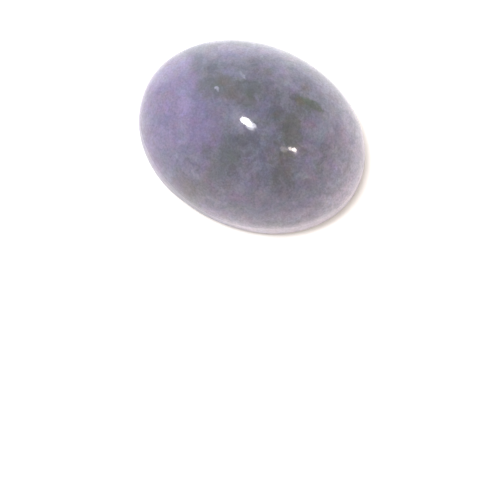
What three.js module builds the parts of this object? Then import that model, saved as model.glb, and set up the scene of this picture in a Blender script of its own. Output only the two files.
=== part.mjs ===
// An oval charoite cabochon: one polished stone with a low domed top, a short upright
// girdle, a fine bevel under the girdle and a flat back.
// Millimetres, +Z up. The origin is the middle of the flat back, and +X runs along the
// oval's long axis.
import * as THREE from "three";

// Driving sizes of the stone
const LENGTH = 25; // the oval's long axis, along X
const WIDTH = 20; // the oval's short axis, along Y
const HEIGHT = 7; // from the flat back to the top of the dome
const GIRDLE_TOP = 1.2; // height at which the dome springs from the girdle
const BEVEL = 0.4; // width and height of the bevel round the flat back

// How finely the round stretches are divided
const SIDES = 96;
const DOME_STEPS = 22;

// Finish of the polished stone
const GREYISH_VIOLET = 0x857d93;
const POLISH_ROUGHNESS = 0.1;

// The dome from the girdle up to its top: a quarter of an ellipse, which leaves the
// girdle upright and crosses the axis level.
function domeProfile() {
  const half = LENGTH / 2;
  const rise = HEIGHT - GIRDLE_TOP;
  const points = [];
  for (let step = 0; step < DOME_STEPS; step++) {
    const angle = (step / DOME_STEPS) * (Math.PI / 2);
    const radius = half * Math.cos(angle);
    const height = GIRDLE_TOP + rise * Math.sin(angle);
    points.push(new THREE.Vector2(radius, height));
  }
  points.push(new THREE.Vector2(0, HEIGHT));
  return points;
}

// Half of the section along the long axis, from the middle of the back to the dome's top.
function sectionProfile() {
  const half = LENGTH / 2;
  return [
    new THREE.Vector2(0, 0),
    new THREE.Vector2(half - BEVEL, 0),
    new THREE.Vector2(half, BEVEL),
    ...domeProfile(),
  ];
}

// The section is turned round the axis, stood up along Z and narrowed to the oval.
function cabochonShape() {
  const shape = new THREE.LatheGeometry(sectionProfile(), SIDES);
  shape.rotateX(Math.PI / 2);
  shape.scale(1, WIDTH / LENGTH, 1);
  return shape;
}

function makeCabochon() {
  const polishedStone = new THREE.MeshStandardMaterial({
    color: GREYISH_VIOLET,
    roughness: POLISH_ROUGHNESS,
    metalness: 0,
  });
  const cabochon = new THREE.Mesh(cabochonShape(), polishedStone);
  cabochon.name = "cabochon";
  return cabochon;
}

const stone = new THREE.Group();
stone.add(makeCabochon());

export default stone;
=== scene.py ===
"""A polished charoite cabochon lying on a white table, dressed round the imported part.

Lengths are metres, apart from the stone's pattern, which is laid out in millimetres from
the middle of the flat back. The pattern is solid: it is worked out all through the stone,
so the dome, the girdle and the back cut through one and the same growth.
"""

import math
from collections import namedtuple

import bmesh
import bpy
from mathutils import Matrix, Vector


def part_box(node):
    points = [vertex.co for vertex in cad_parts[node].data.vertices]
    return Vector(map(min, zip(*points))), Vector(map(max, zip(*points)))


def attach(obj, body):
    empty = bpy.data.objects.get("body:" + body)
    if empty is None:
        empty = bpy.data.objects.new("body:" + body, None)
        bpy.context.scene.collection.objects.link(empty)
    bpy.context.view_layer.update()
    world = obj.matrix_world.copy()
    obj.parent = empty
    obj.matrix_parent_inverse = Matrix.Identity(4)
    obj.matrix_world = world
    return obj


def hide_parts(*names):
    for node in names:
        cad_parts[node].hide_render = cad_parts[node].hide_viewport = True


bl_info = {
    "name": "Charoite Cabochon",
    "version": (1, 0, 0),
    "blender": (4, 5, 0),
    "location": "3D View > Sidebar > Cabochon",
    "description": "Shapes and polishes an oval charoite cabochon and lights it on a table",
    "category": "Add Mesh",
}

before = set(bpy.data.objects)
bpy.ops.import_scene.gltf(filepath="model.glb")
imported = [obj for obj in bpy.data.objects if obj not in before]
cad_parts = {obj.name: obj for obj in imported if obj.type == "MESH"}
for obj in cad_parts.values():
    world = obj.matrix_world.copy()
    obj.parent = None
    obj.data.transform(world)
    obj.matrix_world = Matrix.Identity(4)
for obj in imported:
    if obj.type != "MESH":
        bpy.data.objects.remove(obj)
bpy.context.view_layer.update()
STONE_LOW, STONE_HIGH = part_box("cabochon")
STONE_SIZE = STONE_HIGH - STONE_LOW

MM = 0.001

# The picture is square. The stone's middle lies at this place in it, in pixels from the
# left and from the top.
PICTURE_WIDTH = 500
STONE_ACROSS = 251.6
STONE_DOWN = 129.5

# The stage, in metres and in degrees from the stone's long axis and over the table
TABLE_SIDE = 3.0
TABLE_GAP = 0.02 * MM
LAMP_DISTANCE = 0.6
WINDOW_TURN = 176
WINDOW_HEIGHT = 28
KEY_TURN = 189
KEY_HEIGHT = 64.5
COOL_HORIZON_TURN = 130
NEUTRAL = (1.0, 1.0, 1.0)
WARM = (1.0, 0.92, 0.85)
LILAC = (0.94, 0.93, 1.0)
AMBER = (1.0, 0.85, 0.5)
SENSOR = 36.0
CAMERA_LEVEL = 3.0 * MM

# The long fibres of the stone run across the oval at this turn from its long axis
GRAIN_TURN = math.radians(119)

# Sides of the stone, as turns from the long axis in degrees: where violet growth fills the edge,
# where the painted pale edge is broadest, and where that painted light is coolest
VIOLET_TURN = -120
BROAD_GLOW_TURN = 68
COOL_TURN = 110

# The painted pale edge, which stands in for light showing through the thin edge and for the
# glare of the white table round it: how sharply its broad and its narrow kind gather at the rim,
# how strong the broad kind is and the faint veil that goes with the narrow one, and how strong
# the narrow one is away from the violet side and on it
BROAD_POWER = 1.4
NARROW_POWER = 8.0
BROAD_STRENGTH = 1.1
VEIL_STRENGTH = 0.27
NARROW_STRENGTH = 1.9
VIOLET_STRENGTH = 0.15

# How much brighter the painted pale edge makes the growth under it, and its share of the painted rim
# tone
EDGE_LIFT = (4.6, 4.4, 3.9)
EDGE_SHARE = 0.6

# Where the outline swells out from a true oval and draws in, by turn from the long axis in
# degrees, as shares of the fullness, and how far to each side a swell reaches
OUTLINE_SWELLS = {-138: 1.0, -84: -0.6}
SWELL_REACH = math.radians(34)

# A drift is a cloud of one tone in the stone: its middle on the plan and its half length
# and half width in millimetres, its turn in degrees from the long axis, how fully it
# covers the tones under it, and how soft and ragged its edge is.
Drift = namedtuple("Drift", "at half turn cover softness", defaults=(1.0,))

# The drifts of each tone, as rows of those values. A tone is laid over those before it.
DRIFTS = {}

# The blunt left end, and small patches in the middle and on the right
DRIFTS["violet"] = (
    ((-8.6, -2.0), (5.4, 3.4), 112, 0.85),
    ((-4.6, -3.2), (3.4, 2.1), 119, 0.8),
    ((-6.8, -5.6), (3.2, 2.0), 35, 0.75),
    ((-4.4, -7.7), (1.8, 1.1), -20, 0.5),
    ((-3.9, -1.8), (1.2, 0.9), 40, 0.5),
    ((0.4, 1.6), (1.5, 0.5), 100, 0.35),
    ((5.4, 1.6), (0.5, 0.4), 30, 0.4),
    ((8.1, 4.5), (0.9, 0.5), 60, 0.35),
    ((7.5, -1.4), (1.1, 0.5), 119, 0.5),
)

# A silky ridge over the left end, its edge, the far side, and lesser patches
DRIFTS["lavender"] = (
    ((-10.7, 0.8), (2.6, 1.2), 65, 0.7),
    ((-6.8, -2.3), (3.2, 0.65), 119, 0.8),
    ((-6.2, 0.2), (0.8, 0.5), 119, 0.5),
    ((-5.4, -4.9), (1.2, 0.6), 118, 0.6),
    ((-9.7, 2.0), (1.8, 1.0), 119, 0.6),
    ((1.0, -9.8), (1.1, 0.5), 0, 0.4),
    ((-1.5, -6.9), (0.6, 0.4), 119, 0.35),
    ((-5.0, 3.2), (0.9, 0.3), 30, 0.4),
    ((-5.3, 6.0), (2.2, 1.0), 30, 0.4),
    ((-0.3, 6.3), (1.4, 0.8), 20, 0.4),
    ((-2.6, 7.6), (2.2, 1.0), 20, 0.25),
    ((1.9, 5.5), (0.7, 0.5), 60, 0.4),
    ((-0.6, 5.2), (0.8, 0.5), 20, 0.5),
    ((9.8, -0.1), (0.7, 0.5), 119, 0.5),
    ((2.7, -6.4), (0.8, 0.5), 20, 0.35),
)

# Bluish clouds in the violet and along the near side
DRIFTS["dusk"] = (
    ((-6.6, -8.0), (1.4, 0.6), -40, 0.6),
    ((-3.4, -8.7), (3.2, 1.1), -25, 0.6),
    ((-4.2, -1.5), (1.0, 0.6), 119, 0.5),
    ((-10.2, 0.6), (1.3, 0.6), 100, 0.4),
    ((-8.4, -4.3), (1.4, 0.6), 10, 0.5),
    ((-5.8, -5.0), (0.6, 0.4), 60, 0.5),
    ((-4.0, -6.3), (0.6, 0.5), 20, 0.5),
    ((-6.3, -7.4), (0.8, 0.4), 150, 0.5),
    ((-3.1, -2.0), (0.9, 0.5), 119, 0.55),
    ((-1.9, -3.8), (1.0, 0.6), 119, 0.75),
    ((-2.3, -1.1), (0.8, 0.5), 119, 0.5),
    ((-2.1, 0.0), (0.7, 0.5), 60, 0.4),
    ((4.8, -8.2), (1.2, 0.4), 20, 0.5),
)

# Paler grey between the dark growths
DRIFTS["haze"] = (
    ((-9.8, -2.9), (0.8, 0.6), 119, 0.35),
    ((-3.3, 3.3), (0.5, 0.9), 20, 0.4),
    ((-3.3, 3.9), (0.9, 0.5), 20, 0.5),
    ((-7.8, 4.7), (1.3, 0.8), 20, 0.6),
    ((0.8, 5.0), (0.8, 0.6), 40, 0.6),
    ((1.4, 3.0), (0.6, 0.4), 20, 0.3),
    ((6.3, 2.6), (2.2, 0.7), 119, 0.5),
    ((5.9, 1.0), (0.9, 0.4), 119, 0.5),
    ((6.4, -6.1), (1.3, 0.7), 20, 0.5),
    ((6.4, -1.9), (0.6, 0.4), 119, 0.25),
)

# Greyish purple round the middle, along the near side and over the right end
DRIFTS["mauve"] = (
    ((-6.4, -6.3), (1.6, 0.8), 150, 0.5),
    ((-2.4, -2.8), (1.7, 0.8), 20, 0.5),
    ((-1.8, 5.4), (1.1, 0.7), 60, 0.4),
    ((4.8, 7.1), (1.5, 0.6), 155, 0.4),
    ((8.0, -1.9), (0.8, 0.6), 119, 0.6),
    ((9.3, -4.6), (1.7, 0.5), 55, 0.4),
    ((-1.8, -4.0), (1.0, 0.7), 119, 0.5),
    ((2.3, -5.6), (0.9, 0.6), 119, 0.5),
    ((4.4, -7.1), (2.8, 1.0), 20, 0.45),
)

# Reddish violet in the violet growth and beside it
DRIFTS["amethyst"] = (
    ((-2.8, -3.2), (0.8, 0.5), 20, 0.5),
    ((-6.1, -3.5), (0.6, 0.4), 20, 0.2),
    ((-6.9, -8.2), (1.1, 0.5), -40, 0.6),
    ((-2.2, -3.9), (0.8, 0.6), 20, 0.3),
)

# Rosy clouds, most of all in the violet and over the right end
DRIFTS["rose"] = (
    ((-5.7, -5.0), (0.5, 0.4), 30, 0.35),
    ((-8.9, 2.7), (1.2, 0.6), 119, 0.35),
    ((-9.0, -1.9), (1.0, 0.8), 20, 0.5),
    ((-6.8, -4.2), (0.7, 0.5), 30, 0.3),
    ((-4.4, 0.3), (0.9, 0.6), 10, 0.5),
    ((-5.4, 6.1), (0.7, 0.4), 40, 0.35),
    ((-0.5, 8.2), (0.7, 0.5), 20, 0.4),
    ((5.4, 2.4), (0.7, 0.5), 20, 0.5),
    ((6.2, 0.2), (0.7, 0.5), 20, 0.4),
    ((8.9, 3.6), (1.0, 0.6), 119, 0.65),
    ((10.6, 3.2), (0.9, 0.5), 119, 0.4),
    ((8.1, 2.0), (0.9, 0.6), 119, 0.5),
    ((9.2, 0.1), (1.0, 0.5), 119, 0.45),
    ((8.4, -2.6), (0.8, 0.6), 20, 0.6),
    ((11.7, 0.3), (0.9, 0.4), 100, 0.4),
    ((1.6, -6.9), (0.8, 0.5), 29, 0.5),
    ((1.5, -4.7), (0.5, 0.3), 119, 0.4),
    ((2.6, -7.7), (0.9, 0.5), 10, 0.35),
    ((4.5, -8.9), (1.0, 0.4), 20, 0.4),
)

# Dark blue at the far corner of the left end, down the near side and on the right
DRIFTS["indigo"] = (
    ((-2.1, -5.5), (0.9, 0.6), 119, 0.6),
    ((-3.2, -7.3), (0.8, 0.5), 160, 0.4),
    ((-4.3, -6.2), (0.7, 0.5), 160, 0.3),
    ((-2.6, -7.7), (0.7, 0.5), 160, 0.3),
    ((-8.6, 3.9), (0.9, 0.6), 119, 0.5),
    ((-9.5, 5.0), (1.8, 0.8), 45, 0.8),
    ((-9.8, 3.9), (1.0, 0.5), 45, 0.5),
    ((-6.3, 7.3), (1.4, 0.5), 25, 0.3),
    ((2.8, 6.9), (0.7, 0.4), 10, 0.5),
    ((9.9, 3.7), (0.9, 0.4), 119, 0.4),
    ((8.6, -2.8), (0.7, 0.5), 20, 0.5),
    ((9.3, -1.3), (0.9, 0.6), 119, 0.35),
    ((0.9, -2.2), (1.4, 0.6), 20, 0.4),
    ((3.8, -4.8), (1.0, 0.7), 119, 0.5),
    ((3.9, -6.1), (0.7, 0.5), 119, 0.4),
)

# Grey-green on the far side of the left half, down the near side and on the right
DRIFTS["moss"] = (
    ((-0.9, -8.3), (1.0, 0.6), 160, 0.5),
    ((-6.3, 1.7), (1.4, 0.7), 130, 0.7),
    ((-4.9, 1.5), (1.4, 0.9), 100, 0.75),
    ((-7.9, 2.5), (1.2, 0.6), 119, 0.5),
    ((-6.3, 0.7), (0.9, 0.6), 119, 0.7),
    ((-5.4, 0.2), (0.7, 0.5), 119, 0.5),
    ((-2.2, 2.5), (1.6, 0.9), 30, 0.7),
    ((-2.5, 1.4), (0.7, 0.6), 60, 0.6),
    ((1.7, 0.4), (0.9, 0.6), 29, 0.5),
    ((2.8, 3.1), (0.6, 0.5), 20, 0.5),
    ((3.2, 4.3), (0.9, 0.8), 80, 0.5),
    ((4.0, 3.4), (1.0, 0.6), 119, 0.6),
    ((4.6, 4.2), (1.5, 0.7), 4, 0.6, 0.8),
    ((2.5, 3.8), (0.7, 0.5), 119, 0.4),
    ((5.8, -4.2), (2.3, 1.3), 119, 0.6, 0.7),
    ((5.2, -3.3), (0.8, 0.5), 119, 0.4),
    ((6.0, -3.0), (0.6, 0.5), 90, 0.4),
    ((6.4, -3.4), (0.7, 0.5), 119, 0.5),
    ((9.3, 1.5), (0.7, 0.5), 119, 0.4),
    ((10.7, -2.3), (0.8, 0.5), 60, 0.5),
    ((9.8, -0.9), (0.8, 0.5), 119, 0.4),
    ((0.0, -4.8), (2.2, 1.4), 119, 0.85),
    ((-0.5, -6.5), (1.5, 1.0), 100, 0.75),
    ((2.0, -4.8), (0.6, 0.4), 20, 0.5),
    ((6.4, -8.4), (2.0, 0.5), 30, 0.5),
    ((3.6, -5.4), (0.6, 0.4), 20, 0.4),
    ((2.9, -8.5), (0.8, 0.4), 15, 0.4),
)

# The band right of the middle, its foot, and spots on the far side
DRIFTS["olive"] = (
    ((-4.5, 1.7), (0.8, 0.6), 40, 0.6),
    ((-1.4, 1.6), (0.9, 0.7), 100, 0.7),
    ((-1.2, 5.2), (1.0, 0.7), 60, 0.55),
    ((4.3, 0.9), (1.9, 1.1), 114, 0.72, 0.8),
    ((3.1, 0.8), (1.3, 0.5), 119, 0.5),
    ((4.7, -1.9), (0.9, 0.5), 20, 0.6),
    ((5.4, -1.6), (0.9, 0.5), 20, 0.8),
    ((5.2, -0.3), (0.9, 0.4), 20, 0.5),
    ((3.7, -2.0), (0.6, 0.4), 20, 0.3),
    ((4.2, -3.1), (0.6, 0.4), 119, 0.35),
    ((4.0, -1.2), (0.7, 0.4), 119, 0.5),
    ((8.9, -6.9), (1.2, 0.4), 40, 0.13),
)

# Darker clouds nearly all over
DRIFTS["smoke"] = (
    ((-6.9, -8.1), (1.0, 0.35), -40, 0.25),
    ((-1.7, -3.7), (0.6, 0.4), 119, 0.2),
    ((-8.5, -4.8), (0.6, 0.4), 119, 0.15),
    ((-5.7, -3.9), (0.6, 0.4), 119, 0.12),
    ((-6.3, -2.6), (0.6, 0.4), 119, 0.12),
    ((2.3, -4.0), (0.6, 0.4), 20, 0.25),
    ((-0.2, 0.6), (0.6, 0.35), 20, 0.3),
    ((-1.6, -5.8), (0.6, 0.4), 119, 0.15),
    ((-9.2, -4.8), (0.9, 0.4), 119, 0.12),
    ((-6.4, 2.9), (1.5, 0.9), 119, 0.5),
    ((-5.7, 2.6), (0.8, 0.5), 20, 0.4),
    ((-1.9, 3.8), (1.4, 0.8), 119, 0.4),
    ((-0.2, 3.2), (1.4, 1.0), 119, 0.25),
    ((1.6, 2.1), (1.3, 0.8), 119, 0.55),
    ((0.9, 3.7), (0.6, 0.4), 20, 0.4),
    ((1.4, 3.3), (0.6, 0.4), 20, 0.3),
    ((2.3, 4.1), (0.6, 0.4), 20, 0.35),
    ((2.6, 4.7), (0.9, 0.2), 20, 0.4, 0.6),
    ((5.7, -3.9), (1.8, 0.9), 115, 0.45),
    ((5.9, -2.5), (0.6, 0.4), 119, 0.25),
    ((8.1, 0.8), (1.2, 0.6), 119, 0.5),
    ((8.4, -0.5), (1.0, 0.7), 119, 0.5),
    ((8.9, -3.5), (1.3, 0.7), 40, 0.45),
    ((7.9, -4.3), (1.0, 0.7), 20, 0.3),
    ((7.6, -0.3), (0.8, 0.5), 119, 0.25),
    ((10.9, 0.7), (0.8, 0.4), 119, 0.5),
    ((8.0, 3.6), (1.0, 0.5), 119, 0.25),
    ((7.6, -3.8), (1.1, 0.7), 40, 0.25),
    ((9.1, 0.6), (0.9, 0.5), 119, 0.2),
    ((9.8, -6.0), (1.4, 0.5), 50, 0.42),
    ((11.2, -4.2), (0.9, 0.4), 65, 0.22),
    ((10.1, 2.0), (1.5, 0.5), 100, 0.2),
    ((1.3, -2.8), (1.7, 0.8), 20, 0.5),
    ((-0.2, -2.9), (1.1, 0.6), 29, 0.5),
    ((1.3, -5.7), (0.6, 0.4), 20, 0.3),
    ((1.3, -3.6), (0.8, 0.4), 20, 0.45),
    ((2.0, -5.2), (0.6, 0.4), 20, 0.3),
    ((4.5, -5.7), (0.6, 0.5), 20, 0.35),
    ((4.2, -8.6), (0.9, 0.4), 20, 0.15),
)

# The dark green wedge at the far side
DRIFTS["aegirine"] = (
    ((4.2, 4.65), (1.1, 0.55), 4, 0.8, 0.7),
    ((3.7, 4.5), (0.9, 0.8), 20, 0.7, 0.8),
    ((5.2, 4.5), (0.9, 0.25), 2, 0.7, 0.7),
    ((4.5, 4.1), (0.7, 0.4), 20, 0.35, 0.7),
)

# The brown heart of the wedge, a spot beyond it, and glimpses in the band's foot
DRIFTS["bronze"] = (
    ((3.45, 4.2), (0.6, 0.7), 70, 0.6),
    ((3.4, 6.1), (0.6, 0.4), 90, 0.2),
    ((4.9, -1.1), (0.7, 0.3), 20, 0.25),
    ((5.4, -2.3), (0.7, 0.4), 20, 0.25),
)

# Brown spots, and a patch at the near side
DRIFTS["umber"] = (
    ((-2.6, -3.9), (0.6, 0.4), 119, 0.25),
    ((-2.4, -5.0), (0.9, 0.5), 119, 0.3),
    ((-2.5, -8.9), (1.9, 0.8), -16, 0.75),
    ((-2.3, -6.9), (0.5, 0.4), 119, 0.2),
    ((-1.2, -7.4), (0.7, 0.4), 119, 0.3),
    ((-8.2, 0.2), (0.9, 0.5), 119, 0.15),
    ((-8.8, -3.2), (0.6, 0.4), 119, 0.12),
    ((-4.1, 2.2), (0.9, 0.6), 30, 0.7),
    ((-5.6, 3.0), (0.6, 0.4), 30, 0.2),
    ((-3.4, 1.4), (1.1, 0.9), 90, 0.8),
    ((-2.0, 7.0), (0.9, 0.5), 30, 0.35),
    ((0.6, 3.9), (0.6, 0.5), 20, 0.25),
    ((1.9, 1.6), (0.5, 0.35), 30, 0.4),
    ((3.1, 6.2), (0.7, 0.5), 30, 0.6),
    ((6.3, -0.6), (0.5, 0.3), 90, 0.4),
    ((5.4, -3.2), (1.2, 0.6), 119, 0.4),
    ((6.1, -3.1), (0.7, 0.45), 90, 0.65),
)

# Pale flecks and silks, thin pale clouds, and a painted halo of light beside the white glint
DRIFTS["pale"] = (
    ((-10.5, 0.6), (1.3, 0.8), 65, 0.15),
    ((-9.8, -5.4), (0.9, 0.3), -50, 0.08),
    # A painted halo of light beside the white glint
    ((-1.2, -0.7), (1.4, 0.7), -45, 0.27),
    ((-3.3, 2.9), (0.7, 0.3), 30, 0.13),
    ((-0.4, 8.6), (1.4, 0.6), -10, 0.19),
    ((10.3, 4.5), (1.0, 0.35), 119, 0.16),
    ((-4.2, 6.4), (0.8, 0.4), 20, 0.09),
    ((-2.0, 8.4), (0.8, 0.3), 10, 0.1),
    ((-6.7, 3.9), (0.6, 0.4), 119, 0.09),
    ((-8.6, 1.2), (0.6, 0.4), 119, 0.08),
    ((1.2, 3.0), (0.5, 0.3), 119, 0.06),
    ((6.1, -4.8), (0.6, 0.4), 119, 0.07),
    ((-7.9, -7.3), (0.8, 0.3), -45, 0.07),
    ((6.7, -6.0), (0.9, 0.5), 20, 0.05),
    ((-9.2, 0.1), (0.8, 0.5), 119, 0.05),
    ((-10.8, -3.6), (0.9, 0.3), 119, 0.06),
    ((0.8, 6.9), (0.9, 0.5), 20, 0.1),
    ((-2.0, 2.7), (0.6, 0.35), 30, 0.08),
    ((-0.9, 3.5), (0.7, 0.4), 119, 0.08),
    ((0.2, 7.8), (0.7, 0.4), 30, 0.12),
    ((-6.7, 1.9), (0.6, 0.4), 119, 0.1),
    ((-1.0, 1.6), (0.6, 0.35), 20, 0.08),
    ((6.3, 7.3), (0.9, 0.35), 140, 0.1),
    ((-5.3, 4.8), (0.8, 0.4), 30, 0.1),
    ((2.9, -0.2), (0.8, 0.4), 119, 0.07),
    ((0.9, 5.5), (0.6, 0.4), 20, 0.15),
    ((1.6, 4.6), (0.5, 0.3), 119, 0.07),
    ((6.2, 0.2), (0.6, 0.4), 20, 0.12),
    ((3.1, -4.2), (0.6, 0.4), 119, 0.12),
    ((7.2, -3.2), (0.6, 0.4), 119, 0.08),
    ((11.0, -3.0), (0.9, 0.4), 60, 0.25),
    ((12.1, -0.6), (1.3, 0.3), 97, 0.15),
    ((1.4, -4.6), (0.6, 0.35), 20, 0.11),
    ((-4.63, 1.0), (0.22, 0.18), 0, 0.7),
    ((-3.15, 3.65), (0.6, 0.2), 145, 0.4),
    ((-2.4, -7.6), (0.9, 0.3), 160, 0.2),
)

# A glint is a small lamp that the polished dome mirrors: the spot on the plan where it shows,
# in millimetres, and the lamp's width, radiance and colour.
Glint = namedtuple("Glint", "name at width radiance colour")

GLINTS = [
    Glint("white glint", (-0.33, -0.75), 0.05, 36, NEUTRAL),
    Glint("white glint foot", (0.07, -0.96), 0.041, 22, NEUTRAL),
    Glint("white glint halo", (0.45, -0.87), 0.05, 12, LILAC),
    Glint("white glint tail", (0.47, -1.25), 0.04, 8, LILAC),
    Glint("warm glint", (5.53, -0.86), 0.031, 24, WARM),
    Glint("warm glint side", (5.12, -0.99), 0.028, 14, WARM),
    Glint("warm glint foot", (5.8, -1.08), 0.024, 2.2, WARM),
    Glint("warm glint neck", (4.88, -1.22), 0.024, 0.7, WARM),
    Glint("warm glint tail", (4.54, -1.43), 0.042, 2.4, WARM),
    Glint("warm glint glow", (5.4, -0.8), 0.075, 0.9, AMBER),
]


def measure(name, description, value, precision=5):
    return bpy.props.FloatProperty(
        name=name, description=description, default=value, unit="LENGTH", precision=precision)


class StoneShape(bpy.types.PropertyGroup):
    length: measure("Length", "Long axis of the oval", STONE_SIZE.x)
    width: measure("Width", "Short axis of the oval", STONE_SIZE.y)
    height: measure("Height", "Flat back to dome top", STONE_SIZE.z)
    girdle: measure("Girdle", "Height at which the dome springs", 1.2 * MM)
    bevel: measure("Bevel", "Width of the bevel round the back", 0.4 * MM)
    edge: measure("Edge", "Radius to which the bevel's edges are worn", 0.14 * MM)
    fullness: bpy.props.FloatProperty(
        name="Fullness", default=0.01, min=0.0, soft_max=0.03, subtype="FACTOR",
        description="How far the outline swells from a true oval, as a share of its size")
    unevenness: measure(
        "Unevenness", "Height of the waves that hand polishing leaves", 0.012 * MM, precision=6)
    wave: measure("Wave", "Distance between those waves", 5 * MM)
    steps: bpy.props.IntProperty(
        name="Steps", description="Faces along a quarter of the girdle", default=180, min=8)
    seed: bpy.props.IntProperty(name="Seed", description="Which waves the polish has", default=3)


def stone_colour(name, description, value):
    return bpy.props.FloatVectorProperty(
        name=name, description=description, subtype="COLOR", size=3, min=0, max=1, default=value)


def light_colour(name, description, value):
    return bpy.props.FloatVectorProperty(
        name=name, description=description, subtype="COLOR", size=3, min=0, soft_max=4, default=value)


class StoneTones(bpy.types.PropertyGroup):
    slate: stone_colour("Slate", "Grey violet between the drifts", (0.071, 0.069, 0.096))
    haze: stone_colour("Haze", "Paler grey between the drifts", (0.102, 0.096, 0.129))
    lavender: stone_colour("Lavender", "Pale silky growth", (0.136, 0.110, 0.196))
    violet: stone_colour("Violet", "Strongest violet growth", (0.102, 0.076, 0.154))
    dusk: stone_colour("Dusk", "Bluish clouds in the violet", (0.070, 0.070, 0.115))
    mauve: stone_colour("Mauve", "Greyish purple growth", (0.095, 0.080, 0.110))
    amethyst: stone_colour("Amethyst", "Reddish violet growth", (0.100, 0.062, 0.150))
    rose: stone_colour("Rose", "Reddish mauve growth", (0.115, 0.080, 0.115))
    indigo: stone_colour("Indigo", "Dark blue growth", (0.045, 0.047, 0.078))
    moss: stone_colour("Moss", "Dark grey-green growth", (0.050, 0.052, 0.056))
    olive: stone_colour("Olive", "Dark olive growth", (0.052, 0.052, 0.042))
    umber: stone_colour("Umber", "Brown spots", (0.062, 0.050, 0.046))
    smoke: stone_colour("Smoke", "Dark neutral growth", (0.036, 0.036, 0.043))
    aegirine: stone_colour("Aegirine", "Dark green crystals", (0.026, 0.042, 0.020))
    bronze: stone_colour("Bronze", "Brown heart of the green crystals", (0.068, 0.053, 0.030))
    # The pale tone also paints a halo of light beside the white glint
    pale: stone_colour("Pale", "Pale flecks and silk", (0.250, 0.230, 0.280))
    # The rim and cool rim tones are painted light for the pale edge: they stand in for light showing
    # through the thin edge and the glare of the white table, cooler on the far side
    rim: stone_colour("Rim", "Tone of the thin edges, which light passes through", (0.40, 0.355, 0.42))
    cool_rim: stone_colour("Cool rim", "Tone of the rim on its coolest side", (0.39, 0.41, 0.45))


class StageLook(bpy.types.PropertyGroup):
    azimuth: bpy.props.FloatProperty(
        name="Azimuth", description="Turn of the camera round the stone",
        default=math.radians(29.35), subtype="ANGLE")
    elevation: bpy.props.FloatProperty(
        name="Elevation", description="Height of the camera over the table",
        default=math.radians(70), subtype="ANGLE")
    distance: measure("Distance", "Camera to the middle of the stone", 0.22)
    lens: bpy.props.FloatProperty(
        name="Lens", description="Focal length, in millimetres", default=150.6, unit="CAMERA")
    paper: stone_colour("Paper", "White paper on the table", (0.94, 0.895, 0.84))
    ceiling: light_colour("Ceiling", "Radiance straight overhead", (0.78, 0.75, 0.73))
    near_horizon: light_colour(
        "Near horizon", "Radiance at table height behind the camera", (2.1, 1.9, 1.74))
    far_horizon: light_colour(
        "Far horizon", "Radiance at table height beyond the stone", (1.52, 1.6, 1.71))
    window: light_colour("Window", "Radiance of the broad window light", (1.62, 1.7, 1.85))
    key: light_colour(
        "Key", "Radiance of the soft lamp that casts the stone's shadow", (9.4, 9.9, 10.6))
    key_width: measure("Key width", "Width of the soft lamp", 0.33)
    haze_narrowness: bpy.props.FloatProperty(
        name="Haze narrowness", description="How quickly the pale horizon fades upwards",
        default=3.0, min=0.5)
    window_spread: bpy.props.FloatProperty(
        name="Window spread", description="Angle at which the window light has faded out",
        default=math.radians(72), subtype="ANGLE")


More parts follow.
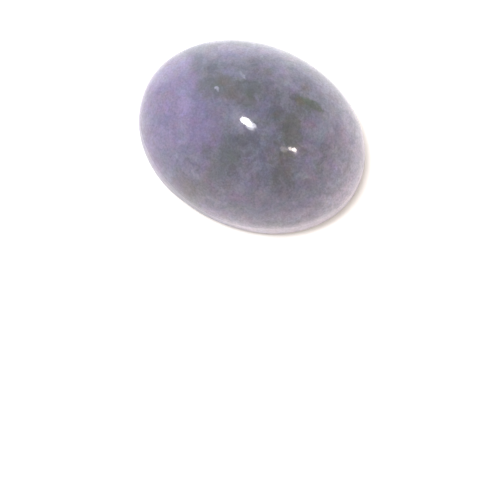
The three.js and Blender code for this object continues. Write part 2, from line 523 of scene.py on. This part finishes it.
class Bench:
    """Adds nodes to one node tree, so that a formula in the script reads like one."""

    def __init__(self, tree):
        self.tree = tree
        tree.nodes.clear()

    def node(self, kind, inputs=None, **settings):
        made = self.tree.nodes.new(kind)
        for name, value in settings.items():
            setattr(made, name, value)
        for name, value in (inputs or {}).items():
            self.feed(made.inputs[name], value)
        return made

    def feed(self, socket, value):
        if isinstance(value, bpy.types.NodeSocket):
            self.tree.links.new(value, socket)
        else:
            socket.default_value = value

    def feed_all(self, sockets, values):
        for socket, value in zip(sockets, values):
            self.feed(socket, value)

    def maths(self, operation, *values, clamp=False):
        made = self.node("ShaderNodeMath", operation=operation, use_clamp=clamp)
        self.feed_all(made.inputs, values)
        return made.outputs[0]

    def vectors(self, operation, *values):
        made = self.node("ShaderNodeVectorMath", operation=operation)
        self.feed_all(made.inputs, values)
        number = operation in ("DOT_PRODUCT", "LENGTH")
        return made.outputs["Value" if number else "Vector"]

    def scaled(self, vector, factor):
        made = self.node("ShaderNodeVectorMath", operation="SCALE")
        self.feed(made.inputs["Vector"], vector)
        self.feed(made.inputs["Scale"], factor)
        return made.outputs["Vector"]

    def choose(self, share, first, second):
        """A number that goes from first to second as share goes from 0 to 1."""
        made = self.node("ShaderNodeMix", data_type="FLOAT")
        self.feed_all((made.inputs[0], made.inputs[2], made.inputs[3]), (share, first, second))
        return made.outputs[0]

    def tint(self, share, first, second, mode="MIX"):
        """A colour that goes from first to second as share goes from 0 to 1."""
        made = self.node("ShaderNodeMix", data_type="RGBA", blend_type=mode)
        self.feed_all((made.inputs[0], made.inputs[6], made.inputs[7]), (share, first, second))
        return made.outputs[2]

    def rise(self, value, low, high, floor=0.0, top=1.0):
        """An S-curve that takes value from floor, at low, to top, at high."""
        made = self.node("ShaderNodeMapRange", interpolation_type="SMOOTHSTEP", clamp=False)
        self.feed_all(made.inputs, (value, low, high, floor, top))
        return made.outputs[0]

    def cloud(self, place, size, detail=2.0, roughness=0.5, seed=0, colour=False):
        """Noise whose blobs are about size across, in the units that place is given in."""
        made = self.node("ShaderNodeTexNoise", noise_dimensions="4D")
        settings = {
            "Vector": place, "W": seed, "Scale": 1 / size, "Detail": detail, "Roughness": roughness}
        for name, value in settings.items():
            self.feed(made.inputs[name], value)
        return made.outputs["Color" if colour else "Fac"]

    def away(self, place, middle, turn, half):
        """How far place lies from the middle of a turned spot, whose rim is 1 away."""
        turned = self.node("ShaderNodeVectorRotate", {
            "Vector": place, "Center": middle, "Angle": -turn}, rotation_type="Z_AXIS")
        finer = tuple(1 / size for size in half)
        moved = tuple(-place / size for place, size in zip(middle, half))
        return self.vectors("LENGTH", self.vectors("MULTIPLY_ADD", turned.outputs[0], finer, moved))

    def stretched(self, place, turn, lean, sizes):
        """Place in a turned and leaning frame with its own unit of length along each axis."""
        made = self.node("ShaderNodeMapping", vector_type="TEXTURE")
        self.feed_all(made.inputs, (place, (0.0, 0.0, 0.0), (0.0, lean, turn), sizes))
        return made.outputs[0]


# The form of the stone

# How many edges round off each corner of the section, and how near points are to be welded
CORNER_EDGES = 5
WELD_DISTANCE = 0.002 * MM

# Noise keeps within about a quarter to each side of its middle, so this makes it a full swing
NOISE_SWING = 4.0

# A face is on the flat back, and isn't smoothed, where its normal's height is under this
FLAT_BACK = -0.9999

FORM_SIZES = {
    "Length": "NodeSocketFloat",
    "Width": "NodeSocketFloat",
    "Height": "NodeSocketFloat",
    "Girdle": "NodeSocketFloat",
    "Bevel": "NodeSocketFloat",
    "Edge": "NodeSocketFloat",
    "Fullness": "NodeSocketFloat",
    "Unevenness": "NodeSocketFloat",
    "Wave": "NodeSocketFloat",
    "Steps": "NodeSocketInt",
    "Seed": "NodeSocketInt",
    "Material": "NodeSocketMaterial",
}


def dome_over_girdle(bench, size):
    """The dome, laid on an even square grid that is drawn out round, so that it has no pole.

    Each square ring of the grid, from -1 to 1, becomes a ring of the dome.
    """
    count = bench.maths("ADD", size["Steps"], 1)
    grid = bench.node("GeometryNodeMeshGrid", {
        "Size X": 2.0, "Size Y": 2.0, "Vertices X": count, "Vertices Y": count})
    position = bench.node("GeometryNodeInputPosition").outputs[0]
    place = bench.node("ShaderNodeSeparateXYZ", {"Vector": position})
    across, along = place.outputs[0], place.outputs[1]
    sideways = bench.maths(
        "GREATER_THAN", bench.maths("ABSOLUTE", across), bench.maths("ABSOLUTE", along))
    reach = bench.choose(sideways, along, across)
    eighth = math.pi / 4
    near_x = bench.maths("MULTIPLY", bench.maths("DIVIDE", along, across), eighth)
    near_y = bench.maths(
        "SUBTRACT", math.pi / 2, bench.maths("MULTIPLY", bench.maths("DIVIDE", across, along), eighth))
    turn = bench.choose(sideways, near_y, near_x)
    tilt = bench.maths("MULTIPLY", reach, math.pi / 2)
    half = bench.maths("MULTIPLY", size["Length"], 0.5)
    out = bench.maths("MULTIPLY", bench.maths("SINE", tilt), half)
    rise = bench.maths("SUBTRACT", size["Height"], size["Girdle"])
    round_place = bench.node("ShaderNodeCombineXYZ", {
        "X": bench.maths("MULTIPLY", out, bench.maths("COSINE", turn)),
        "Y": bench.maths("MULTIPLY", out, bench.maths("SINE", turn)),
        "Z": bench.maths("MULTIPLY_ADD", rise, bench.maths("COSINE", tilt), size["Girdle"])})
    dome = bench.node("GeometryNodeSetPosition", {
        "Geometry": grid.outputs["Mesh"], "Position": round_place.outputs[0]})
    return dome.outputs[0]


def under_the_dome(bench, size):
    """The girdle, the bevel and the flat back: half of their section, swept round the girdle."""
    half = bench.maths("MULTIPLY", size["Length"], 0.5)
    corners = {
        "Point 1": (0.0, bench.maths("MULTIPLY", size["Girdle"], -1.0)),
        "Point 2": (0.0, bench.maths("MULTIPLY", size["Bevel"], -1.0)),
        "Point 3": (bench.maths("MULTIPLY", size["Bevel"], -1.0), 0.0),
        "Point 4": (bench.maths("MULTIPLY", half, -1.0), 0.0),
    }
    section = bench.node("GeometryNodeCurvePrimitiveQuadrilateral", mode="POINTS")
    for name, (out, down) in corners.items():
        corner = bench.node("ShaderNodeCombineXYZ", {"X": out, "Y": down})
        bench.feed(section.inputs[name], corner.outputs[0])
    opened = bench.node("GeometryNodeSetSplineCyclic", {
        "Geometry": section.outputs[0], "Cyclic": False})
    worn = bench.node("GeometryNodeFilletCurve", mode="POLY")
    bench.feed(worn.inputs["Curve"], opened.outputs[0])
    bench.feed(worn.inputs["Count"], CORNER_EDGES)
    bench.feed(worn.inputs["Radius"], size["Edge"])
    finer = bench.node("GeometryNodeSubdivideCurve", {"Curve": worn.outputs[0], "Cuts": 1})
    girdle = bench.node("GeometryNodeCurvePrimitiveCircle", mode="RADIUS")
    bench.feed(girdle.inputs["Resolution"], bench.maths("MULTIPLY", size["Steps"], 4))
    bench.feed(girdle.inputs["Radius"], half)
    swept = bench.node("GeometryNodeCurveToMesh", {
        "Curve": girdle.outputs[0], "Profile Curve": finer.outputs[0]})
    return swept.outputs[0]


def hand_cut(bench, stone, size):
    """Draws the outline out a little at its fuller end and in at the flatter side next to it."""
    place = bench.node("GeometryNodeInputPosition").outputs[0]
    level = bench.vectors("MULTIPLY", place, (1.0, 1.0, 0.0))
    direction = bench.vectors("NORMALIZE", level)
    fullness = 0.0
    for turn, share in OUTLINE_SWELLS.items():
        facing = bench.vectors("DOT_PRODUCT", direction, tuple(towards(turn, 0)))
        swell = bench.rise(facing, math.cos(SWELL_REACH), 1.0, 0.0, share)
        fullness = bench.maths("ADD", swell, fullness)
    outwards = bench.scaled(level, bench.maths("MULTIPLY", fullness, size["Fullness"]))
    drawn = bench.node("GeometryNodeSetPosition", {"Geometry": stone, "Offset": outwards})
    return drawn.outputs[0]


def hand_polished(bench, stone, size):
    """Leaves the soft waves of hand polishing on all but the flat back."""
    place = bench.node("GeometryNodeInputPosition").outputs[0]
    height = bench.node("ShaderNodeSeparateXYZ", {"Vector": place}).outputs["Z"]
    wave = bench.node("ShaderNodeCombineXYZ", {axis: size["Wave"] for axis in "XYZ"})
    in_waves = bench.vectors("DIVIDE", place, wave.outputs[0])
    waves = bench.cloud(in_waves, 1.0, detail=2.5, roughness=0.35, seed=size["Seed"])
    swing = bench.maths("MULTIPLY", bench.maths("SUBTRACT", waves, 0.5), size["Unevenness"])
    share = bench.rise(height, size["Bevel"], size["Girdle"])
    lift = bench.maths("MULTIPLY", bench.maths("MULTIPLY", swing, share), NOISE_SWING)
    normal = bench.node("GeometryNodeInputNormal").outputs[0]
    offset = bench.scaled(normal, lift)
    moved = bench.node("GeometryNodeSetPosition", {"Geometry": stone, "Offset": offset})
    return moved.outputs[0]


def cabochon_tree():
    """The node tree that shapes the whole stone from its sizes."""
    tree = bpy.data.node_groups.new("cabochon form", "GeometryNodeTree")
    bench = Bench(tree)
    for name, kind in FORM_SIZES.items():
        tree.interface.new_socket(name=name, in_out="INPUT", socket_type=kind)
    tree.interface.new_socket(name="Geometry", in_out="OUTPUT", socket_type="NodeSocketGeometry")
    size = bench.node("NodeGroupInput").outputs

    joined = bench.node("GeometryNodeJoinGeometry")
    for part in (dome_over_girdle(bench, size), under_the_dome(bench, size)):
        bench.tree.links.new(part, joined.inputs[0])
    closed = bench.node("GeometryNodeMergeByDistance", {
        "Geometry": joined.outputs[0], "Distance": WELD_DISTANCE})
    place = bench.node("GeometryNodeInputPosition").outputs[0]
    oval = bench.node("ShaderNodeCombineXYZ", {
        "X": 1.0, "Y": bench.maths("DIVIDE", size["Width"], size["Length"]), "Z": 1.0})
    narrowed = bench.node("GeometryNodeSetPosition", {
        "Geometry": closed.outputs[0], "Position": bench.vectors("MULTIPLY", place, oval.outputs[0])})
    cut = hand_cut(bench, narrowed.outputs[0], size)
    polished = hand_polished(bench, cut, size)
    facing = bench.node("GeometryNodeInputNormal").outputs[0]
    normal = bench.node("ShaderNodeSeparateXYZ", {"Vector": facing})
    curved = bench.maths("GREATER_THAN", normal.outputs["Z"], FLAT_BACK)
    smooth = bench.node("GeometryNodeSetShadeSmooth", {"Geometry": polished, "Shade Smooth": curved})
    real = bench.node("GeometryNodeRealizeInstances", {"Geometry": smooth.outputs[0]})
    done = bench.node("GeometryNodeSetMaterial", {
        "Geometry": real.outputs[0], "Material": size["Material"]})
    bench.tree.links.new(done.outputs[0], bench.node("NodeGroupOutput").inputs[0])
    return tree


def set_inputs(modifier, values):
    """Gives a Geometry Nodes modifier its inputs, each by its socket's identifier."""
    for item in modifier.node_group.interface.items_tree:
        if item.item_type == "SOCKET" and item.in_out == "INPUT":
            modifier[item.identifier] = values[item.name]


def plain_mesh(shaped, name):
    """The evaluated result as a mesh of its own, with its faces pointing outwards."""
    evaluated = shaped.evaluated_get(bpy.context.evaluated_depsgraph_get())
    mesh = bpy.data.meshes.new_from_object(evaluated)
    mesh.name = name
    loose = bmesh.new()
    loose.from_mesh(mesh)
    bmesh.ops.recalc_face_normals(loose, faces=loose.faces)
    holes = [edge for edge in loose.edges if len(edge.link_faces) != 2]
    volume = loose.calc_volume(signed=True)
    loose.to_mesh(mesh)
    loose.free()
    if holes or volume <= 0:
        raise RuntimeError(f"{name} isn't closed: {len(holes)} open edges, volume {volume}")
    return mesh


def shape_stone(shape, material):
    """The finished stone as a plain mesh object."""
    stone = bpy.data.objects.new("polished_cabochon", bpy.data.meshes.new("blank"))
    bpy.context.scene.collection.objects.link(stone)
    form = stone.modifiers.new("Form", "NODES")
    form.node_group = cabochon_tree()
    values = {name: getattr(shape, name.lower()) for name in FORM_SIZES if name != "Material"}
    set_inputs(form, {**values, "Material": material})
    mesh = plain_mesh(stone, "polished_cabochon")
    stone.modifiers.clear()
    stone.data = mesh
    return stone


# The charoite, worked out in millimetres

NOISE_MIDDLE = (0.5, 0.5, 0.5)

# The sizes of the slow swirls and of the ragged ones in the growth, and how far each moves
# the drifts and the fibres
SLOW_SIZE = 4.5
RAGGED_SIZE = 1.1
SLOW_DRIFTS = 1.2
RAGGED_DRIFTS = 1.5
SLOW_FIBRES = 3.5
RAGGED_FIBRES = 0.8

# How steeply the fibres rise along the grain, in radians
GRAIN_LEAN = 0.3

# How much deeper into the stone a drift reaches than it is long, how far out of its rim and
# in from it its soft edge reaches, and how strongly the texture frays it
DRIFT_DEPTH = 1.5
EDGE_OUT = 0.45
EDGE_IN = 0.65
FRAY = 1.4

# The share of each colour part that the coloured flecks leave, and how much they can add
FLECK_FLOOR = (0.68, 0.75, 0.7)
FLECK_SPREAD = (0.64, 0.5, 0.6)

# How far the grain and the mottle, and the fibres, lighten and darken the stone
SPECKLE = 0.17
STREAKS = 0.105


def grown_place(bench, place):
    """Place bent by the swirling growth of the stone: softly for drifts, more for fibres."""
    slow = bench.cloud(place, SLOW_SIZE, 1.0, seed=1, colour=True)
    slow = bench.vectors("SUBTRACT", slow, NOISE_MIDDLE)
    ragged = bench.cloud(place, RAGGED_SIZE, 3.0, 0.6, seed=2, colour=True)
    ragged = bench.vectors("SUBTRACT", ragged, NOISE_MIDDLE)
    bent = bench.vectors("ADD", place, bench.scaled(slow, SLOW_DRIFTS))
    # This sum is a colour mix, because the renderer then works out the fray before it comes to
    # the drifts, and has no need to hold every drift's distance at once.
    drift_place = bench.tint(1.0, bent, bench.scaled(ragged, RAGGED_DRIFTS), mode="ADD")
    swirled = bench.vectors("ADD", place, bench.scaled(slow, SLOW_FIBRES))
    fibre_place = bench.vectors("ADD", swirled, bench.scaled(ragged, RAGGED_FIBRES))
    return drift_place, fibre_place


def silk(bench, place, length, width, detail, seed):
    """Fine fibres that run along the grain."""
    along = bench.stretched(place, GRAIN_TURN, GRAIN_LEAN, (length, width, width))
    return bench.cloud(along, 1.0, detail, 0.6, seed=seed)


def dome_height(shape, x, y):
    """Height of the dome over a place on the plan, in millimetres."""
    half_x, half_y = shape.length / MM / 2, shape.width / MM / 2
    inside = max(0.0, 1 - (x / half_x) ** 2 - (y / half_y) ** 2)
    return (shape.girdle + (shape.height - shape.girdle) * math.sqrt(inside)) / MM


def drift_cover(bench, shape, place, fray, drifts):
    """How far the drifts of one tone cover each place, from 0 to 1."""
    total = 0.0
    for row in drifts:
        drift = Drift(*row)
        x, y = drift.at
        depth = DRIFT_DEPTH + max(drift.half)
        middle = (x, y, dome_height(shape, x, y))
        away = bench.away(place, middle, math.radians(drift.turn), (*drift.half, depth))
        ragged = bench.maths("MULTIPLY_ADD", fray, drift.softness, away)
        outer, inner = 1 + EDGE_OUT * drift.softness, 1 - EDGE_IN * drift.softness
        cover = bench.rise(ragged, outer, inner, 0.0, drift.cover)
        total = bench.maths("MAXIMUM", cover, total)
    return total


def painted_edge_light(bench, shape, tones, place):
    """How pale the painted edge is, from 0 to 1, its tone, and the share of the dome missing there.

    The paleness is painted light: it stands in for light showing through the thin edge and for
    the glare of the white table round it. It reaches far in along one side and hugs the rim
    elsewhere, and it is weak on the violet side.
    """
    halves = (2 * MM / shape.length, 2 * MM / shape.width, 0.0)
    share = bench.vectors("MULTIPLY", place, halves)

    def side(turn):
        return bench.vectors("DOT_PRODUCT", share, tuple(towards(turn, 0)))

    inside = bench.maths("SUBTRACT", 1.0, bench.vectors("DOT_PRODUCT", share, share), clamp=True)
    missing = bench.maths("SUBTRACT", 1.0, bench.maths("SQRT", inside))
    strength = bench.rise(side(VIOLET_TURN), 0.6, 0.93, NARROW_STRENGTH, VIOLET_STRENGTH)
    narrow = bench.maths("MULTIPLY", bench.maths("POWER", missing, NARROW_POWER), strength)
    narrow = bench.maths("MULTIPLY_ADD", missing, VEIL_STRENGTH, narrow)
    broad = bench.maths("MULTIPLY", bench.maths("POWER", missing, BROAD_POWER), BROAD_STRENGTH)
    paleness = bench.choose(bench.rise(side(BROAD_GLOW_TURN), -0.45, 0.6), narrow, broad)
    height = bench.node("ShaderNodeSeparateXYZ", {"Vector": place}).outputs["Z"]
    paleness = bench.maths("MULTIPLY", paleness, bench.rise(height, 0.2, 1.6, 0.6, 1.0))
    # The painted edge light is cooler on the far side, in the colour of the cooler far horizon
    cool = bench.rise(side(COOL_TURN), 0.1, 0.9)
    rim = bench.tint(cool, (*tones.rim, 1.0), (*tones.cool_rim, 1.0))
    return bench.maths("MINIMUM", paleness, 1.0), rim, missing


def charoite_colour(bench, shape, tones, place):
    """The colour of the stone with its painted pale edge, and the mottle and the missing share that
    its polish follows.
    """
    drift_place, fibre_place = grown_place(bench, place)
    long_silk = silk(bench, fibre_place, 3.0, 0.4, 3.0, 11)
    fine_silk = silk(bench, fibre_place, 1.6, 0.14, 2.0, 12)
    threads = bench.choose(0.45, long_silk, fine_silk)
    mottle = bench.cloud(drift_place, 1.3, 4.0, 0.65, seed=13)
    hue = bench.cloud(drift_place, 2.0, 3.0, 0.6, seed=14)
    grain = bench.cloud(place, 0.22, 2.0, 0.6, seed=15)
    texture = bench.choose(0.4, mottle, threads)
    fray = bench.maths("MULTIPLY", bench.maths("SUBTRACT", texture, 0.5), FRAY)

    def tone(name):
        return (*getattr(tones, name), 1.0)

    colour = bench.tint(bench.rise(mottle, 0.36, 0.64), tone("slate"), tone("haze"))
    colour = bench.tint(bench.rise(hue, 0.52, 0.68, 0.0, 0.5), colour, tone("mauve"))
    for name, drifts in DRIFTS.items():
        cover = drift_cover(bench, shape, drift_place, fray, drifts)
        colour = bench.tint(cover, colour, tone(name))

    streaks = bench.rise(threads, 0.3, 0.7, -STREAKS, STREAKS)
    speckle = bench.choose(0.3, grain, mottle)
    shade = bench.rise(speckle, 0.3, 0.7, 1 - SPECKLE, 1 + SPECKLE)
    shade = bench.maths("ADD", shade, streaks)
    flecks = bench.cloud(drift_place, 1.1, 3.0, 0.6, seed=16, colour=True)
    hues = bench.vectors("MULTIPLY_ADD", flecks, FLECK_SPREAD, FLECK_FLOOR)
    # The pale edge laid over the growth here is painted light for the thin edge's glow and the table's
    # glare
    paleness, rim, missing = painted_edge_light(bench, shape, tones, place)
    colour = bench.vectors("MULTIPLY", colour, hues)
    lifted = bench.vectors("MULTIPLY", colour, EDGE_LIFT)
    colour = bench.tint(paleness, colour, bench.tint(EDGE_SHARE, lifted, rim))
    return bench.scaled(colour, shade), mottle, missing


# The lapping marks on the back: the turn in degrees of each set and the length, width and
# depth of its lines in millimetres
LAPPING = (
    (35, (4.0, 0.05, 0.4)),
    (100, (3.0, 0.07, 0.4)),
)
LAPPING_SEED = 21

# How rough the dome is at its shiniest and dullest mottle and at its thin edge, and how rough
# the ground back is in its marks and between them
DOME_ROUGHNESS = (0.045, 0.065)
EDGE_ROUGHNESS = 0.4
GROUND_ROUGHNESS = (0.62, 0.42)


def ground_marks(bench, place):
    """Fine crossing lines, as a lapping disc leaves on the flat back and the girdle."""
    sets = []
    for number, (turn, sizes) in enumerate(LAPPING):
        along = bench.stretched(place, math.radians(turn), 0.0, sizes)
        sets.append(bench.cloud(along, 1.0, 2.0, seed=LAPPING_SEED + number))
    return bench.maths("MINIMUM", *sets)


def charoite(shape, tones):
    """The stone's material: solid charoite, with a glassy polish on the dome and a ground back."""
    material = bpy.data.materials.new("polished charoite")
    material.use_nodes = True
    bench = Bench(material.node_tree)
    place = bench.scaled(bench.node("ShaderNodeTexCoord").outputs["Object"], 1 / MM)
    colour, mottle, missing = charoite_colour(bench, shape, tones, place)
    height = bench.node("ShaderNodeSeparateXYZ", {"Vector": place}).outputs["Z"]
    ground = bench.rise(height, 0.02, 0.6, 1.0, 0.0)
    marks = ground_marks(bench, place)
    relief = bench.node("ShaderNodeBump", {
        "Height": bench.maths("MULTIPLY", marks, ground), "Strength": 0.6, "Distance": 0.012 * MM})
    dome = bench.rise(mottle, 0.3, 0.7, *DOME_ROUGHNESS)
    polish = bench.rise(missing, 0.7, 1.0, dome, EDGE_ROUGHNESS)
    lapped = bench.rise(marks, 0.3, 0.6, *GROUND_ROUGHNESS)
    roughness = bench.choose(ground, polish, lapped)
    surface = bench.node("ShaderNodeBsdfPrincipled", {
        "Base Color": colour, "Roughness": roughness, "IOR": 1.55, "Normal": relief.outputs[0],
        "Sheen Weight": 0.15, "Sheen Roughness": 0.5,
        "Subsurface Weight": 0.12, "Subsurface Radius": (1.0, 0.9, 1.1),
        "Subsurface Scale": 0.4 * MM})
    bench.node("ShaderNodeOutputMaterial", {"Surface": surface.outputs[0]})
    return material


# The table, the light and the camera

def towards(turn, height):
    """The direction at a turn from the stone's long axis and a height over the table, in degrees."""
    turn, height = math.radians(turn), math.radians(height)
    level = math.cos(height)
    return Vector((math.cos(turn) * level, math.sin(turn) * level, math.sin(height)))


def plain_table(look):
    """A broad sheet of white paper, a hair's breadth under the stone."""
    half = TABLE_SIDE / 2
    plan = ((-half, -half), (half, -half), (half, half), (-half, half))
    corners = [(x, y, -TABLE_GAP) for x, y in plan]
    mesh = bpy.data.meshes.new("table")
    mesh.from_pydata(corners, [], [(0, 1, 2, 3)])
    table = bpy.data.objects.new("table", mesh)
    bpy.context.scene.collection.objects.link(table)
    paper = bpy.data.materials.new("white paper")
    paper.use_nodes = True
    bench = Bench(paper.node_tree)
    surface = bench.node("ShaderNodeBsdfPrincipled", {
        "Base Color": (*look.paper, 1.0), "Roughness": 0.8, "Specular IOR Level": 0.2})
    bench.node("ShaderNodeOutputMaterial", {"Surface": surface.outputs[0]})
    mesh.materials.append(paper)


def soft_room(look):
    """A dim ceiling over a pale horizon, with broad window light from the picture's upper left."""
    world = bpy.data.worlds.new("soft room")
    world.use_nodes = True
    bench = Bench(world.node_tree)
    direction = bench.node("ShaderNodeTexCoord").outputs["Generated"]
    height = bench.node("ShaderNodeSeparateXYZ", {"Vector": direction}).outputs["Z"]
    lowness = bench.maths("SUBTRACT", 1.0, bench.maths("ABSOLUTE", height))
    haze = bench.maths("POWER", lowness, look.haze_narrowness)
    to_cool_side = tuple(towards(COOL_HORIZON_TURN, 0))
    far_side = bench.rise(bench.vectors("DOT_PRODUCT", direction, to_cool_side), -1.0, 1.0)
    horizon = bench.tint(far_side, (*look.near_horizon, 1.0), (*look.far_horizon, 1.0))
    to_window = tuple(towards(WINDOW_TURN, WINDOW_HEIGHT))
    facing = bench.vectors("DOT_PRODUCT", direction, to_window)
    window = bench.rise(facing, math.cos(look.window_spread), 1.0)
    room = bench.tint(haze, (*look.ceiling, 1.0), horizon)
    light = bench.tint(window, room, (*look.window, 1.0))
    background = bench.node("ShaderNodeBackground", {"Color": light, "Strength": 1.0})
    bench.node("ShaderNodeOutputWorld", {"Surface": background.outputs[0]})
    bpy.context.scene.world = world


def lamp(name, spot, direction, width, radiance, colour):
    """A round lamp that shines on a spot of the stone along a direction."""
    light = bpy.data.lights.new(name, "AREA")
    light.shape = "DISK"
    light.size = width
    light.energy = radiance * math.pi * (math.pi * width ** 2 / 4)
    light.color = colour
    lamp_object = bpy.data.objects.new(name, light)
    lamp_object.location = spot + direction * LAMP_DISTANCE
    lamp_object.rotation_mode = "QUATERNION"
    lamp_object.rotation_quaternion = direction.to_track_quat("Z", "Y")
    bpy.context.scene.collection.objects.link(lamp_object)
    return lamp_object


def key_lamp(look):
    """The broad soft lamp from the picture's upper left, which the polish doesn't mirror."""
    strength = max(look.key)
    tint = tuple(part / strength for part in look.key)
    key = lamp("key lamp", Vector(), towards(KEY_TURN, KEY_HEIGHT), look.key_width, strength, tint)
    key.visible_glossy = False


def glint_lamps(shape, look):
    """Small lamps, each where the camera sees it mirrored at its spot on the dome."""
    eye = camera_place(look)
    half_x, half_y, rise = shape.length / 2, shape.width / 2, shape.height - shape.girdle
    for glint in GLINTS:
        x, y = glint.at
        spot = Vector((x, y, dome_height(shape, x, y))) * MM
        level = spot.z - shape.girdle
        outwards = Vector((spot.x / half_x ** 2, spot.y / half_y ** 2, level / rise ** 2)).normalized()
        seen = (eye - spot).normalized()
        direction = 2 * outwards.dot(seen) * outwards - seen
        lamp(glint.name, spot, direction, glint.width, glint.radiance, glint.colour)


def camera_back(look):
    """The direction from the stone back to the camera."""
    turn, height = look.azimuth, look.elevation
    return Vector((
        math.sin(turn) * math.cos(height), -math.cos(turn) * math.cos(height), math.sin(height)))


def camera_place(look):
    """Where the camera stands."""
    return Vector((0.0, 0.0, CAMERA_LEVEL)) + camera_back(look) * look.distance


def camera(look):
    """Looks down on the stone, aimed so that the stone lies above the picture's middle."""
    back = camera_back(look)
    right = Vector((math.cos(look.azimuth), math.sin(look.azimuth), 0.0))
    up = back.cross(right)
    middle = Vector((0.0, 0.0, CAMERA_LEVEL))
    metres_per_pixel = look.distance * SENSOR / look.lens / PICTURE_WIDTH
    aim = middle + right * (PICTURE_WIDTH / 2 - STONE_ACROSS) * metres_per_pixel
    aim = aim - up * (PICTURE_WIDTH / 2 - STONE_DOWN) * metres_per_pixel
    data = bpy.data.cameras.new("camera")
    data.sensor_width = SENSOR
    data.lens = look.lens
    data.clip_start = 0.01
    camera_object = bpy.data.objects.new("camera", data)
    camera_object.location = camera_place(look)
    camera_object.rotation_mode = "QUATERNION"
    line = camera_object.location - aim
    camera_object.rotation_quaternion = line.to_track_quat("Z", "Y")
    bpy.context.scene.collection.objects.link(camera_object)
    bpy.context.scene.camera = camera_object


class CABOCHON_OT_shape_stone(bpy.types.Operator):
    """Shapes the oval stone and gives it its charoite"""

    bl_idname = "cabochon.shape_stone"
    bl_label = "Shape and Polish the Stone"

    def execute(self, context):
        shape, tones = context.scene.stone_shape, context.scene.stone_tones
        stone = shape_stone(shape, charoite(shape, tones))
        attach(stone, "root")
        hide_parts("cabochon")
        return {"FINISHED"}


class CABOCHON_OT_set_stage(bpy.types.Operator):
    """Lays the white table and sets the lights and the camera"""

    bl_idname = "cabochon.set_stage"
    bl_label = "Set the Stage"

    def execute(self, context):
        look = context.scene.stage_look
        plain_table(look)
        soft_room(look)
        key_lamp(look)
        glint_lamps(context.scene.stone_shape, look)
        camera(look)
        context.scene.view_settings.view_transform = "Standard"
        return {"FINISHED"}


class CABOCHON_PT_panel(bpy.types.Panel):
    bl_label = "Charoite Cabochon"
    bl_idname = "CABOCHON_PT_panel"
    bl_space_type = "VIEW_3D"
    bl_region_type = "UI"
    bl_category = "Cabochon"

    def draw(self, context):
        scene = context.scene
        for group in (scene.stone_shape, scene.stone_tones, scene.stage_look):
            box = self.layout.box()
            for name in group.__annotations__:
                box.prop(group, name)
        self.layout.operator("cabochon.shape_stone")
        self.layout.operator("cabochon.set_stage")


CLASSES = (
    StoneShape,
    StoneTones,
    StageLook,
    CABOCHON_OT_shape_stone,
    CABOCHON_OT_set_stage,
    CABOCHON_PT_panel,
)


def register():
    for item in CLASSES:
        bpy.utils.register_class(item)
    bpy.types.Scene.stone_shape = bpy.props.PointerProperty(type=StoneShape)
    bpy.types.Scene.stone_tones = bpy.props.PointerProperty(type=StoneTones)
    bpy.types.Scene.stage_look = bpy.props.PointerProperty(type=StageLook)


def unregister():
    del bpy.types.Scene.stage_look
    del bpy.types.Scene.stone_tones
    del bpy.types.Scene.stone_shape
    for item in reversed(CLASSES):
        bpy.utils.unregister_class(item)


def main():
    register()
    bpy.ops.cabochon.set_stage()
    bpy.ops.cabochon.shape_stone()


if __name__ == "__main__":
    main()
